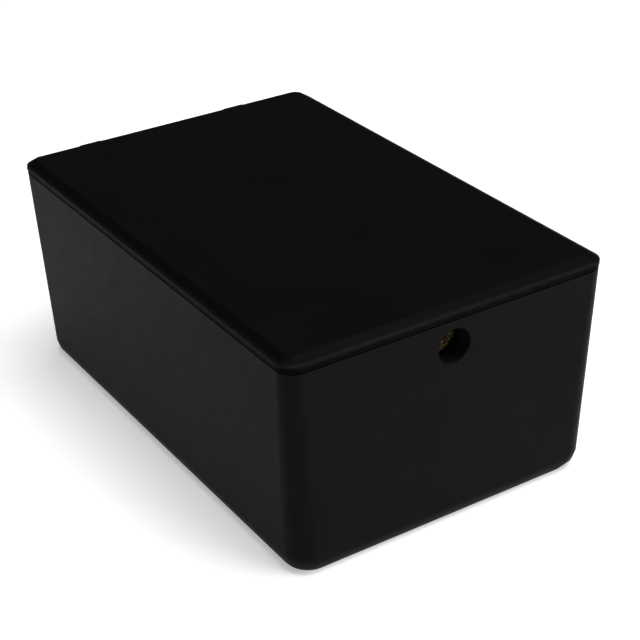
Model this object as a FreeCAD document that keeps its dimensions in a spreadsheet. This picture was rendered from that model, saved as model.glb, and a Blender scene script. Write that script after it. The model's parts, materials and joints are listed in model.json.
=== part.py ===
"""Lockable rodent bait station: moulded tub, hinged lid, cam lock, bait tray and baffle.

Origin: centre of the tub's underside.  +Z is up, -Y is the lock end, +Y the hinge end,
and the two doorways are in the +X side.  Millimetres.
"""
import FreeCAD, Part
import Sketcher
import math
import os
import re

from FreeCAD import Placement, Rotation, Vector

SIZES = {
    # Tub
    "width": 175.0,
    "length": 266.0,
    "seam_height": 109.1,
    "wall": 2.8,
    "floor": 3.0,
    "corner": 9.0,
    "corner_low": 12.0,
    "side_draft": 3.4,
    "end_draft": 2.4,
    "bevel_run": 4.2,
    "bevel_rise": 8.5,
    "heel_run": 3.1,
    "heel_rise": 4.2,
    "rest_height": 0.58,
    # Lid
    "seam_gap": 0.6,
    "rim_step_height": 1.5,
    "rim_overhang": 0.3,
    "rim_height": 3.3,
    "rim_rounding": 0.35,
    "border_width": 5.0,
    "lid_height": 7.0,
    "lid_skin": 3.0,
    "lip_depth": 2.5,
    "lip_gap": 0.6,
    "lip_thickness": 1.8,
    "rib_height": 2.4,
    "rib_width": 2.2,
    "rib_pitch": 62.0,
    # Doorways and baffle
    "door_width": 58.0,
    "door_height": 60.0,
    "door_sill": 9.0,
    "door_centre": 88.0,
    "baffle_place": 20.0,
    "baffle_thickness": 3.0,
    "baffle_top": 100.0,
    "rail_gap": 0.3,
    "rail_width": 2.2,
    "rail_reach": 5.0,
    "passage_width": 64.0,
    "passage_height": 72.0,
    # Floor fixing holes
    "anchor_across": 130.0,
    "anchor_along": 224.0,
    "anchor_radius": 2.7,
    "anchor_boss": 7.0,
    "anchor_rise": 1.5,
    # Hinge
    "hinge_back": 5.5,
    "hinge_drop": 2.4,
    "hinge_place": 45.0,
    "knuckle_radius": 4.2,
    "knuckle_inner": 12.0,
    "knuckle_outer": 9.7,
    "knuckle_gap": 0.3,
    "web_depth": 14.0,
    "pin_radius": 1.5,
    "pin_clearance": 0.05,
    "pin_head_radius": 2.6,
    "pin_head_height": 1.2,
    "pin_tail": 2.4,
    "retainer_radius": 3.1,
    "retainer_thickness": 0.8,
    "stop_length": 6.5,
    "stop_thickness": 2.0,
    "stop_angle": 31.0,
    # Lock, measured inwards from the tub's lock end
    "lock_drop": 13.0,
    "well_radius": 8.8,
    "well_wall": 1.4,
    "well_depth": 12.2,
    "well_floor": 2.6,
    "flange_radius": 7.2,
    "flange_thickness": 1.5,
    "barrel_radius": 5.5,
    "barrel_clearance": 0.1,
    "barrel_end": 28.0,
    "notch_width": 1.4,
    "plug_radius": 4.2,
    "plug_head_radius": 5.2,
    "plug_head_thickness": 1.2,
    "plug_clearance": 0.05,
    "keyway_width": 1.5,
    "keyway_height": 6.4,
    "keyway_depth": 11.0,
    "wafer_thickness": 0.5,
    "wafer_width": 3.2,
    "wafer_height": 7.6,
    "wafer_window": 3.6,
    "wafer_first": 2.4,
    "wafer_pitch": 1.9,
    "washer_radius": 7.6,
    "washer_thickness": 0.8,
    "nut_flats": 15.0,
    "nut_thickness": 4.0,
    "tang": 5.6,
    "cam_gap": 0.5,
    "cam_thickness": 2.0,
    "cam_hub": 7.0,
    "cam_width": 10.0,
    "cam_reach": 15.5,
    "screw_radius": 1.9,
    "screw_length": 7.5,
    "screw_head_radius": 3.6,
    "screw_head_height": 2.4,
    "screw_slot": 0.9,
    "cam_washer_radius": 4.8,
    "cam_washer_thickness": 0.7,
    # Keeper
    "keeper_thickness": 2.0,
    "keeper_width": 10.0,
    "keeper_foot_end": 9.5,
    "keeper_leg": 17.5,
    "keeper_flange": 18.5,
    "keeper_pad": 4.0,
    "keeper_screw_first": 6.0,
    "keeper_screw_pitch": 8.0,
    "keeper_screw_radius": 1.5,
    "keeper_screw_head": 2.8,
    "keeper_screw_cap": 1.8,
    # Bait tray
    "tray_left": 78.0,
    "tray_right": 15.0,
    "tray_half": 92.0,
    "tray_height": 20.0,
    "tray_wall": 2.0,
    "tray_corner": 8.0,
    "tray_lift_gap": 0.1,
    "post_width": 13.0,
    "post_thickness": 4.0,
    "post_height": 62.0,
    "post_inset": 3.0,
    # Bait rods and blocks
    "rod_left": 52.0,
    "rod_right": 12.0,
    "rod_radius": 1.6,
    "rod_rise": 54.0,
    "rod_gap": 0.1,
    "rod_reach": 95.0,
    "rod_bend": 4.0,
    "rod_handle": 12.0,
    "clip_radius": 4.2,
    "clip_thickness": 1.0,
    "block_width": 30.0,
    "block_length": 27.0,
    "block_height": 36.0,
    "block_hang": 12.0,
    "block_pitch": 36.0,
    "block_bevel": 3.0,
}
BLOCKS_PER_ROD = 4
WAFERS = 5
ALONG_X = Rotation(Vector(0, 1, 0), 90)
ALONG_Y = Rotation(Vector(1, 0, 0), -90)
UPRIGHT = Rotation()

os.makedirs("parts", exist_ok=True)
doc = FreeCAD.newDocument("BaitStation")
sheet = doc.addObject("Spreadsheet::Sheet", "Sizes")
nodes = []


def fill_sheet():
    """Write the driving sizes, one row each, with the name as alias."""
    for row, (name, size) in enumerate(SIZES.items(), start=1):
        sheet.set(f"A{row}", name)
        sheet.set(f"B{row}", str(size))
        sheet.setAlias(f"B{row}", name)
    doc.recompute()


def cells(text):
    """Give every size name in an expression the sheet's name."""
    def with_sheet(word):
        return "Sizes." + word.group() if word.group() in SIZES else word.group()

    return re.sub(r"[a-z_]+", with_sheet, text)


def number(text):
    """Work out an expression for a sketch's first guess."""
    return float(sheet.evalExpression(cells(text)))


def bind(thing, **expressions):
    """Bind properties of an object to expressions of the driving sizes."""
    for name, text in expressions.items():
        thing.setExpression(name, cells(text))
    return thing


def place(thing, x, y, z, turn=UPRIGHT):
    """Put an object at an expression-driven place, turned by a fixed rotation."""
    thing.Placement = Placement(Vector(number(x), number(y), number(z)), turn)
    for axis, text in zip("xyz", (x, y, z)):
        thing.setExpression("Placement.Base." + axis, cells(text))
    return thing


def node(thing, label):
    """Name an object as one sub-part of the station."""
    thing.Label = label
    nodes.append(thing)
    return thing


# Part primitives and booleans

def block(name, x, y, z, across, along, up):
    """A box with its low corner at x, y, z."""
    solid = doc.addObject("Part::Box", name)
    bind(solid, Length=across, Width=along, Height=up)
    return place(solid, x, y, z)


def rod(name, radius, reach, x, y, z, turn):
    """A cylinder that starts at x, y, z."""
    solid = doc.addObject("Part::Cylinder", name)
    bind(solid, Radius=radius, Height=reach)
    return place(solid, x, y, z, turn)


def joined(name, pieces):
    """Fuse solids into one."""
    fused = doc.addObject("Part::MultiFuse", name)
    fused.Shapes = pieces
    return fused


def pierced(name, base, tools):
    """Cut one or more solids out of another."""
    cut = doc.addObject("Part::Cut", name)
    cut.Base = base
    cut.Tool = tools[0] if len(tools) == 1 else joined(name + "_tools", tools)
    return cut


def gathered(name, solids):
    """Keep like solids together as one group of separate solids."""
    group = doc.addObject("Part::Compound", name)
    group.Links = solids
    return group


# PartDesign bodies

def new_body(name):
    return doc.addObject("PartDesign::Body", name)


def origin_plane(body, role):
    return [item for item in body.Origin.OriginFeatures if item.Role == role][0]


def new_sketch(body, name, role, offset="0"):
    """A sketch on one of the body's own origin planes, moved along the plane's normal."""
    sketch = body.newObject("Sketcher::SketchObject", name)
    sketch.AttachmentSupport = [(origin_plane(body, role), "")]
    sketch.MapMode = "FlatFace"
    sketch.setExpression(".AttachmentOffset.Base.z", cells(offset))
    return sketch


def datum(sketch, text, kind, *references):
    """Add a dimension to a sketch and bind it to an expression."""
    index = sketch.addConstraint(Sketcher.Constraint(kind, *references, number(text)))
    sketch.setExpression(f"Constraints[{index}]", cells(text))


def rule(sketch, kind, *references):
    sketch.addConstraint(Sketcher.Constraint(kind, *references))


def rounded_outline(sketch, width, length, radius, shift="0"):
    """A rounded rectangle centred on the sketch's Y axis line at x = shift."""
    half_x, half_y = number(width) / 2, number(length) / 2
    bend, middle = number(radius), number(shift)
    first = sketch.GeometryCount
    corners = [(-1, -1), (1, -1), (1, 1), (-1, 1)]
    for index, (sx, sy) in enumerate(corners):
        ex, ey = corners[(index + 1) % 4]
        trim = Vector((ex - sx) / 2 * bend, (ey - sy) / 2 * bend, 0)
        start = Vector(middle + sx * half_x, sy * half_y, 0) + trim
        end = Vector(middle + ex * half_x, ey * half_y, 0) - trim
        sketch.addGeometry(Part.LineSegment(start, end))
    for index, (sx, sy) in enumerate(corners):
        centre = Vector(middle + sx * (half_x - bend), sy * (half_y - bend), 0)
        begin = math.pi + index * math.pi / 2
        circle = Part.Circle(centre, Vector(0, 0, 1), bend)
        sketch.addGeometry(Part.ArcOfCircle(circle, begin, begin + math.pi / 2))
    for index in range(4):
        before = first + (index - 1) % 4
        arc = first + 4 + index
        rule(sketch, "Tangent", before, 2, arc, 1)
        rule(sketch, "Tangent", arc, 2, first + index, 1)
    rule(sketch, "Horizontal", first)
    rule(sketch, "Horizontal", first + 2)
    rule(sketch, "Vertical", first + 3)
    rule(sketch, "Symmetric", first + 1, 1, first + 1, 2, -1)
    for index in range(1, 4):
        rule(sketch, "Equal", first + 4, first + 4 + index)
    datum(sketch, radius, "Radius", first + 4)
    datum(sketch, width, "DistanceX", first + 3, 1, first + 1, 1)
    datum(sketch, length, "DistanceY", first, 1, first + 2, 1)
    datum(sketch, f"{shift} + ({width}) / 2", "DistanceX", -1, 1, first + 1, 1)


def polygon(sketch, points):
    """A closed outline of straight lines through expression-driven points."""
    first = sketch.GeometryCount
    spots = [Vector(number(x), number(y), 0) for x, y in points]
    for index, start in enumerate(spots):
        sketch.addGeometry(Part.LineSegment(start, spots[(index + 1) % len(spots)]))
    for index, (x, y) in enumerate(points):
        rule(sketch, "Coincident", first + index, 2, first + (index + 1) % len(points), 1)
        datum(sketch, x, "DistanceX", -1, 1, first + index, 1)
        datum(sketch, y, "DistanceY", -1, 1, first + index, 1)


def rectangle(sketch, left, low, right, high):
    polygon(sketch, [(left, low), (right, low), (right, high), (left, high)])


def circle(sketch, x, y, radius):
    index = sketch.addGeometry(Part.Circle(Vector(number(x), number(y), 0), Vector(0, 0, 1), number(radius)))
    datum(sketch, x, "DistanceX", -1, 1, index, 3)
    datum(sketch, y, "DistanceY", -1, 1, index, 3)
    datum(sketch, radius, "Radius", index)


def arch(sketch, middle, low, width, height):
    """A doorway outline: straight jambs under a half-round head."""
    half = number(width) / 2
    centre, sill, top = number(middle), number(low), number(low) + number(height)
    spring = top - half
    left_foot, right_foot = Vector(centre - half, sill, 0), Vector(centre + half, sill, 0)
    left_spring, right_spring = Vector(centre - half, spring, 0), Vector(centre + half, spring, 0)
    first = sketch.addGeometry(Part.LineSegment(left_spring, left_foot))
    sketch.addGeometry(Part.LineSegment(left_foot, right_foot))
    sketch.addGeometry(Part.LineSegment(right_foot, right_spring))
    head = Part.Circle(Vector(centre, spring, 0), Vector(0, 0, 1), half)
    sketch.addGeometry(Part.ArcOfCircle(head, 0, math.pi))
    rule(sketch, "Coincident", first, 2, first + 1, 1)
    rule(sketch, "Coincident", first + 1, 2, first + 2, 1)
    rule(sketch, "Tangent", first + 2, 2, first + 3, 1)
    rule(sketch, "Tangent", first + 3, 2, first, 1)
    rule(sketch, "Horizontal", first + 1)
    rule(sketch, "Vertical", first)
    datum(sketch, f"({width}) / 2", "Radius", first + 3)
    datum(sketch, f"{middle} - ({width}) / 2", "DistanceX", -1, 1, first + 1, 1)
    datum(sketch, low, "DistanceY", -1, 1, first + 1, 1)
    datum(sketch, f"{low} + {height} - ({width}) / 2", "DistanceY", -1, 1, first + 3, 3)


def pad(body, sketch, reach):
    feature = body.newObject("PartDesign::Pad", sketch.Name + "_pad")
    feature.Profile = sketch
    return bind(feature, Length=reach)


def pocket(body, sketch, reach):
    """A cut that goes along the sketch's normal."""
    feature = body.newObject("PartDesign::Pocket", sketch.Name + "_pocket")
    feature.Profile = sketch
    feature.Reversed = True
    return bind(feature, Length=reach)


def loft(body, kind, name, sections):
    feature = body.newObject("PartDesign::" + kind, name)
    feature.Profile = sections[0]
    feature.Sections = sections[1:]
    feature.Ruled = True
    return feature


def round_edges(body, base, name, height, radius):
    """Round every edge of a feature that lies level at one height."""
    doc.recompute()
    level = number(height)
    box_of = [(index, edge.BoundBox) for index, edge in enumerate(base.Shape.Edges, start=1)]
    rounding = body.newObject("PartDesign::Fillet", name)
    rounding.Base = (base, [f"Edge{index}" for index, box in box_of
                            if abs(box.ZMin - level) + abs(box.ZMax - level) < 0.01])
    return bind(rounding, Radius=radius)


def body_block(body, kind, name, x, y, z, across, along, up):
    feature = body.newObject("PartDesign::" + kind + "Box", name)
    bind(feature, Length=across, Width=along, Height=up)
    return place(feature, x, y, z)


def body_rod(body, kind, name, radius, reach, x, y, z, turn):
    feature = body.newObject("PartDesign::" + kind + "Cylinder", name)
    bind(feature, Radius=radius, Height=reach)
    return place(feature, x, y, z, turn)


def mirrored(body, feature):
    """Repeat a feature on the other side of the XZ plane."""
    twin = body.newObject("PartDesign::Mirrored", feature.Name + "_twin")
    twin.Originals = [feature]
    twin.MirrorPlane = (origin_plane(body, "XZ_Plane"), [""])
    body.Tip = twin
    return twin


# Places that several sub-parts share
HINGE_Y = "(length / 2 + hinge_back)"
HINGE_Z = "(seam_height - hinge_drop)"
LOCK_Z = "(seam_height - lock_drop)"
LOCK_END = "(0 - length / 2)"
WELL_FLOOR = "(0 - length / 2 + well_depth)"
NUT_FACE = "(0 - length / 2 + well_depth + well_floor + washer_thickness)"
LOCK_FACE = "(0 - length / 2 + well_depth - flange_thickness)"
BARREL_END = "(0 - length / 2 + barrel_end)"
CAM_FACE = "(0 - length / 2 + barrel_end + cam_gap)"
CAM_BACK = "(0 - length / 2 + barrel_end + cam_gap + cam_thickness)"
KEEPER_Y = "(0 - length / 2 + barrel_end + cam_gap + cam_thickness / 2 - keeper_width / 2)"
KEEPER_MIDDLE = "(0 - length / 2 + barrel_end + cam_gap + cam_thickness / 2)"
KEEPER_FOOT = "(seam_height - lock_drop - cam_width / 2 - cam_gap - keeper_thickness)"
LID_BASE = "(seam_height + seam_gap)"
LID_TOP = "(seam_height + lid_height)"
LID_CEILING = "(seam_height + lid_height - lid_skin)"
FLANGE_TOP = "(seam_height + lid_height - lid_skin - keeper_pad)"
TRAY_BASE = "(floor + tray_lift_gap)"
TRAY_MIDDLE = "((tray_right - tray_left) / 2)"
ROD_Z = "(floor + rod_rise)"
HINGE_SIDES = (("left", "-1"), ("right", "1"))


def hinge_middle(side):
    return f"({side} * hinge_place)"


def make_tub():
    body = new_body("Tub")
    base = new_sketch(body, "tub_foot", "XY_Plane")
    rounded_outline(base, "width - 2 * (side_draft + bevel_run)",
                    "length - 2 * (end_draft + bevel_run)", "corner_low - 1")
    heel = new_sketch(body, "tub_heel", "XY_Plane", "heel_rise")
    rounded_outline(heel, "width - 2 * (side_draft + bevel_run - heel_run)",
                    "length - 2 * (end_draft + bevel_run - heel_run)", "corner_low - 0.5")
    bevel = new_sketch(body, "tub_bevel", "XY_Plane", "bevel_rise")
    rounded_outline(bevel, "width - 2 * side_draft", "length - 2 * end_draft", "corner_low")
    rim = new_sketch(body, "tub_rim", "XY_Plane", "seam_height")
    rounded_outline(rim, "width", "length", "corner")
    loft(body, "AdditiveLoft", "tub_outside", [base, heel, bevel, rim])

    low = new_sketch(body, "cavity_floor", "XY_Plane", "floor")
    rounded_outline(low, "width - 2 * (side_draft + bevel_run + wall / 2)",
                    "length - 2 * (end_draft + bevel_run + wall / 2)", "corner_low - 2")
    knee = new_sketch(body, "cavity_knee", "XY_Plane", "bevel_rise + floor")
    rounded_outline(knee, "width - 2 * (side_draft + wall)",
                    "length - 2 * (end_draft + wall)", "corner_low - 2.5")
    mouth = new_sketch(body, "cavity_mouth", "XY_Plane", "seam_height")
    rounded_outline(mouth, "width - 2 * wall", "length - 2 * wall", "corner - wall")
    loft(body, "SubtractiveLoft", "tub_cavity", [low, knee, mouth])

    door = new_sketch(body, "doorway", "YZ_Plane", "width / 2 - 4 * wall")
    arch(door, "door_centre", "door_sill", "door_width", "door_height")
    mirrored(body, pocket(body, door, "8 * wall"))

    rails = new_sketch(body, "baffle_rails", "XY_Plane", "bevel_rise")
    near = "(baffle_place - rail_gap - rail_width)"
    far = "(baffle_place + baffle_thickness + rail_gap)"
    for left in (near, far):
        rectangle(rails, left, "length / 2 - wall - rail_reach", f"{left} + rail_width", "length / 2 - wall")
    mirrored(body, pad(body, rails, "baffle_top - bevel_rise"))

    bosses = new_sketch(body, "anchor_bosses", "XY_Plane", "floor / 2")
    holes = new_sketch(body, "anchor_holes", "XY_Plane", "-1")
    for x in ("-anchor_across / 2", "anchor_across / 2"):
        for y in ("-anchor_along / 2", "anchor_along / 2"):
            circle(bosses, x, y, "anchor_boss")
            circle(holes, x, y, "anchor_radius")
    pad(body, bosses, "floor / 2 + anchor_rise")
    pocket(body, holes, "floor + anchor_rise + 2")

    body_rod(body, "Additive", "well_tube", "well_radius + well_wall", "well_depth + well_floor - wall / 2",
             "0", "wall / 2 - length / 2", LOCK_Z, ALONG_Y)
    body_rod(body, "Subtractive", "well_bore", "well_radius", "well_depth + 1",
             "0", "-1 - length / 2", LOCK_Z, ALONG_Y)
    body_rod(body, "Subtractive", "barrel_hole", "barrel_radius + barrel_clearance",
             "well_depth + well_floor + 2", "0", LOCK_END, LOCK_Z, ALONG_Y)

    for label, side in HINGE_SIDES:
        for flank, end in (("near", "-knuckle_inner / 2 - knuckle_gap - knuckle_outer"),
                           ("far", "knuckle_inner / 2 + knuckle_gap")):
            start = f"{hinge_middle(side)} + ({end})"
            web = new_sketch(body, f"tub_web_{label}_{flank}", "YZ_Plane", start)
            polygon(web, [("length / 2 - wall / 2", f"{HINGE_Z} - web_depth"),
                          (f"{HINGE_Y} + knuckle_radius / 2", f"{HINGE_Z} - knuckle_radius * 0.75"),
                          (HINGE_Y, HINGE_Z),
                          ("length / 2 - wall / 2", HINGE_Z)])
            pad(body, web, "knuckle_outer")
            body_rod(body, "Additive", f"tub_knuckle_{label}_{flank}", "knuckle_radius", "knuckle_outer",
                     start, HINGE_Y, HINGE_Z, ALONG_X)
    body_rod(body, "Subtractive", "tub_hinge_bore", "pin_radius + pin_clearance", "width",
             "-width / 2", HINGE_Y, HINGE_Z, ALONG_X)

    for name, x in (("left", "-width / 2 + wall * 0.5"), ("right", "width / 2 - wall")):
        for end, y in (("front", "-length / 4"), ("rear", "length / 4")):
            body_block(body, "Additive", f"lid_rest_{name}_{end}", x, y, "seam_height - 0.5",
                       "wall / 2", "8", "rest_height + 0.5")
    return node(body, "base_tub")


def make_lid():
    body = new_body("Lid")
    step = new_sketch(body, "lid_step", "XY_Plane", LID_BASE)
    rounded_outline(step, "width", "length", "corner")
    pad(body, step, "rim_step_height + 0.5")
    crown = new_sketch(body, "lid_crown", "XY_Plane", f"{LID_BASE} + rim_step_height")
    rounded_outline(crown, "width + 2 * rim_overhang", "length + 2 * rim_overhang", "corner + rim_overhang")
    rim = new_sketch(body, "lid_rim", "XY_Plane", f"{LID_BASE} + rim_height")
    rounded_outline(rim, "width + 2 * rim_overhang", "length + 2 * rim_overhang", "corner + rim_overhang")
    top = new_sketch(body, "lid_top", "XY_Plane", LID_TOP)
    rounded_outline(top, "width - 2 * (border_width - rim_overhang)",
                    "length - 2 * (border_width - rim_overhang)", "corner + rim_overhang - border_width")
    shell = loft(body, "AdditiveLoft", "lid_crown_loft", [crown, rim, top])
    round_edges(body, shell, "lid_rim_rounding", LID_BASE, "rim_rounding")

    lip = new_sketch(body, "lid_lip", "XY_Plane", "seam_height - lip_depth")
    rounded_outline(lip, "width - 2 * (wall + lip_gap)",
                    "length - 2 * (wall + lip_gap)", "corner - wall - lip_gap")
    pad(body, lip, "lip_depth + seam_gap + 1")
    hollow = new_sketch(body, "lid_hollow", "XY_Plane", "seam_height - lip_depth - 1")
    inset = "(wall + lip_gap + lip_thickness)"
    rounded_outline(hollow, f"width - 2 * {inset}", f"length - 2 * {inset}", f"corner - {inset}")
    pocket(body, hollow, "lip_depth + 1 + lid_height - lid_skin")

    ribs = new_sketch(body, "lid_ribs", "XY_Plane", f"{LID_CEILING} - rib_height")
    for index in (-1, 0, 1):
        middle = f"({index} * rib_pitch + rib_pitch / 4)"
        rectangle(ribs, "wall + 2 - width / 2", f"{middle} - rib_width / 2",
                  "width / 2 - wall - 2", f"{middle} + rib_width / 2")
    pad(body, ribs, "rib_height + 0.5")

    body_block(body, "Additive", "keeper_seat", "0 - keeper_leg - keeper_flange - 1",
               f"{KEEPER_Y} - 1", FLANGE_TOP, "keeper_flange + 1.5", "keeper_width + 2", "keeper_pad + 0.5")
    for index in range(2):
        body_rod(body, "Subtractive", f"keeper_screw_hole_{index}", "keeper_screw_radius",
                 "keeper_pad + 1.5", keeper_screw_x(index), KEEPER_MIDDLE, f"{FLANGE_TOP} - 0.5", UPRIGHT)

    for label, side in HINGE_SIDES:
        start = f"{hinge_middle(side)} - knuckle_inner / 2"
        web = new_sketch(body, f"lid_web_{label}", "YZ_Plane", start)
        polygon(web, [("length / 2 - wall / 2", f"{LID_BASE} + rim_step_height / 3"),
                      (f"{HINGE_Y} - knuckle_radius * 0.6", f"{HINGE_Z} + knuckle_radius * 0.3"),
                      (f"{HINGE_Y} + knuckle_radius * 0.5", f"{HINGE_Z} + knuckle_radius * 0.8"),
                      (f"{HINGE_Y} - knuckle_radius * 0.2", f"{LID_BASE} + 2.4"),
                      ("length / 2 - wall / 2", f"{LID_BASE} + 2.6")])
        pad(body, web, "knuckle_inner")
        body_rod(body, "Additive", f"lid_knuckle_{label}", "knuckle_radius", "knuckle_inner",
                 start, HINGE_Y, HINGE_Z, ALONG_X)
        stop = body_block(body, "Additive", f"lid_stop_{label}", start, HINGE_Y, HINGE_Z,
                          "knuckle_inner", "stop_length", "stop_thickness / 2")
        stop.Placement.Rotation = Rotation(Vector(1, 0, 0), -SIZES["stop_angle"])
    body_rod(body, "Subtractive", "lid_hinge_bore", "pin_radius + pin_clearance", "width",
             "-width / 2", HINGE_Y, HINGE_Z, ALONG_X)
    return node(body, "lid")


def make_baffle():
    body = new_body("Baffle")
    sheet_outline = new_sketch(body, "baffle_sheet", "YZ_Plane", "baffle_place")
    end = "(length / 2 - end_draft - wall - 0.4)"
    rectangle(sheet_outline, f"0 - {end}", "bevel_rise + floor + 0.2", end, "baffle_top")
    pad(body, sheet_outline, "baffle_thickness")
    foot = "(length / 2 - end_draft - bevel_run - wall - 2)"
    body_block(body, "Additive", "baffle_foot", "baffle_place", f"0 - {foot}", "floor + 0.1",
               "baffle_thickness", f"2 * {foot}", "bevel_rise + 1")
    passage = new_sketch(body, "baffle_passage", "YZ_Plane", "baffle_place - 2")
    arch(passage, "0", "floor - 1", "passage_width", "passage_height")
    pocket(body, passage, "baffle_thickness + 4")
    return node(body, "baffle_wall")


def make_tray():
    body = new_body("Tray")
    span = "(tray_left + tray_right)"
    outside = new_sketch(body, "tray_outline", "XY_Plane", TRAY_BASE)
    rounded_outline(outside, span, "2 * tray_half", "tray_corner", TRAY_MIDDLE)
    pad(body, outside, "tray_height")
    inside = new_sketch(body, "tray_inside", "XY_Plane", f"{TRAY_BASE} + tray_wall")
    rounded_outline(inside, f"{span} - 2 * tray_wall", "2 * (tray_half - tray_wall)",
                    "tray_corner - tray_wall", TRAY_MIDDLE)
    pocket(body, inside, "tray_height")
    body_block(body, "Additive", "tray_divider", "0 - tray_left + tray_wall / 2", "0 - tray_wall / 2",
               TRAY_BASE, f"{span} - tray_wall", "tray_wall", "tray_height * 0.7")
    for label, x in (("left", "0 - rod_left"), ("right", "0 - rod_right")):
        for end, y in (("front", "post_inset - tray_half"),
                       ("rear", "tray_half - post_inset - post_thickness")):
            body_block(body, "Additive", f"post_{label}_{end}", f"{x} - post_width / 2", y, TRAY_BASE,
                       "post_width", "post_thickness", "post_height")
            body_block(body, "Subtractive", f"notch_{label}_{end}", f"{x} - rod_radius - rod_gap",
                       f"{y} - 0.5", ROD_Z,
                       "2 * (rod_radius + rod_gap)", "post_thickness + 1", "post_height")
            body_rod(body, "Subtractive", f"seat_{label}_{end}", "rod_radius + rod_gap",
                     "post_thickness + 1", x, f"{y} - 0.5", ROD_Z, ALONG_Y)
    return node(body, "bait_tray")


def make_bait_rod(label, x):
    """A wire rod with one end bent down for a finger."""
    body = new_body("Rod" + label)
    path = new_sketch(body, f"rod_path_{label}", "YZ_Plane", x)
    straight = path.addGeometry(Part.LineSegment(Vector(number("-rod_reach"), number(ROD_Z), 0),
                                                 Vector(number("rod_reach"), number(ROD_Z), 0)))
    corner = Vector(number("rod_reach"), number(f"{ROD_Z} - rod_bend"), 0)
    bend = Part.Circle(corner, Vector(0, 0, 1), number("rod_bend"))
    path.addGeometry(Part.ArcOfCircle(bend, 0, math.pi / 2))
    handle_top = corner + Vector(number("rod_bend"), 0, 0)
    path.addGeometry(Part.LineSegment(handle_top, handle_top - Vector(0, number("rod_handle"), 0)))
    rule(path, "Tangent", straight, 2, straight + 1, 2)
    rule(path, "Tangent", straight + 1, 1, straight + 2, 1)
    rule(path, "Horizontal", straight)
    rule(path, "Vertical", straight + 2)
    datum(path, "-rod_reach", "DistanceX", -1, 1, straight, 1)
    datum(path, ROD_Z, "DistanceY", -1, 1, straight, 1)
    datum(path, "2 * rod_reach", "DistanceX", straight, 1, straight, 2)
    datum(path, "rod_bend", "Radius", straight + 1)
    datum(path, "rod_handle", "DistanceY", straight + 2, 2, straight + 2, 1)
    section = new_sketch(body, f"rod_section_{label}", "XZ_Plane", "rod_reach")
    circle(section, x, ROD_Z, "rod_radius")
    sweep = body.newObject("PartDesign::AdditivePipe", f"rod_sweep_{label}")
    sweep.Profile = section
    sweep.Spine = (path, ["Edge1", "Edge2", "Edge3"])
    return node(body, "bait_rod_" + label)


def make_bait_blocks(label, x):
    """Wax blocks threaded on one rod."""
    solids = []
    for index in range(BLOCKS_PER_ROD):
        middle = f"({index - (BLOCKS_PER_ROD - 1) / 2} * block_pitch)"
        raw = block(f"block_{label}_{index}", f"{x} - block_width / 2", f"{middle} - block_length / 2",
                    f"{ROD_Z} + block_hang - block_height", "block_width", "block_length", "block_height")
        doc.recompute()
        bevelled = doc.addObject("Part::Chamfer", f"block_bevel_{label}_{index}")
        bevelled.Base = raw
        bevelled.Edges = [(edge, SIZES["block_bevel"], SIZES["block_bevel"]) for edge in range(1, 13)]
        hole = rod(f"block_hole_{label}_{index}", "rod_radius + 2 * rod_gap", "block_length + 2",
                   x, f"{middle} - block_length / 2 - 1", ROD_Z, ALONG_Y)
        solids.append(pierced(f"bait_block_{label}_{index}", bevelled, [hole]))
    return node(gathered(f"blocks_{label}", solids), "bait_blocks_" + label)


def make_rod_clips():
    """Push-on discs that keep the blocks from sliding off the rods' plain ends."""
    solids = []
    for label, x in (("left", "0 - rod_left"), ("right", "0 - rod_right")):
        y = "0 - rod_reach + 0.6"
        disc = rod(f"clip_disc_{label}", "clip_radius", "clip_thickness", x, y, ROD_Z, ALONG_Y)
        hole = rod(f"clip_hole_{label}", "rod_radius", "clip_thickness + 1", x, f"{y} - 0.5", ROD_Z, ALONG_Y)
        solids.append(pierced(f"rod_clip_{label}", disc, [hole]))
    return node(gathered("clips", solids), "rod_clips")


def make_hinge_pin(label, side):
    """A headed steel pin through one set of knuckles."""
    reach = "(knuckle_inner + 2 * (knuckle_gap + knuckle_outer))"
    start = f"{hinge_middle(side)} - {reach} / 2"
    shank = rod(f"pin_shank_{label}", "pin_radius", f"{reach} + pin_tail", start, HINGE_Y, HINGE_Z, ALONG_X)
    head = rod(f"pin_head_{label}", "pin_head_radius", "pin_head_height",
               f"{start} - pin_head_height", HINGE_Y, HINGE_Z, ALONG_X)
    return node(joined(f"pin_{label}", [head, shank]), "hinge_pin_" + label)


def make_pin_retainers():
    """Star rings pushed over the pins' plain ends."""
    solids = []
    for label, side in HINGE_SIDES:
        face = f"{hinge_middle(side)} + knuckle_inner / 2 + knuckle_gap + knuckle_outer + 0.1"
        ring = rod(f"retainer_ring_{label}", "retainer_radius", "retainer_thickness",
                   face, HINGE_Y, HINGE_Z, ALONG_X)
        hole = rod(f"retainer_hole_{label}", "pin_radius", "retainer_thickness + 1",
                   f"{face} - 0.5", HINGE_Y, HINGE_Z, ALONG_X)
        solids.append(pierced(f"retainer_{label}", ring, [hole]))
    return node(gathered("retainers", solids), "hinge_pin_retainers")


def make_lock_housing():
    flange = rod("housing_flange", "flange_radius", "flange_thickness", "0", LOCK_FACE, LOCK_Z, ALONG_Y)
    barrel = rod("housing_barrel", "barrel_radius", "barrel_end - well_depth",
                 "0", WELL_FLOOR, LOCK_Z, ALONG_Y)
    bore = rod("housing_bore", "plug_radius + plug_clearance", "barrel_end", "0", LOCK_END, LOCK_Z, ALONG_Y)
    seat = rod("housing_seat", "plug_head_radius + plug_clearance",
               "plug_head_thickness + plug_clearance + 1", "0", f"{LOCK_FACE} - 1", LOCK_Z, ALONG_Y)
    notch = block("housing_notch", "0 - notch_width / 2", f"{LOCK_FACE} - 1", LOCK_Z,
                  "notch_width", "flange_thickness / 2 + 1", "flange_radius + 1")
    housing = pierced("housing", joined("housing_solid", [flange, barrel]), [bore, seat, notch])
    return node(housing, "lock_housing")


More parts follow.
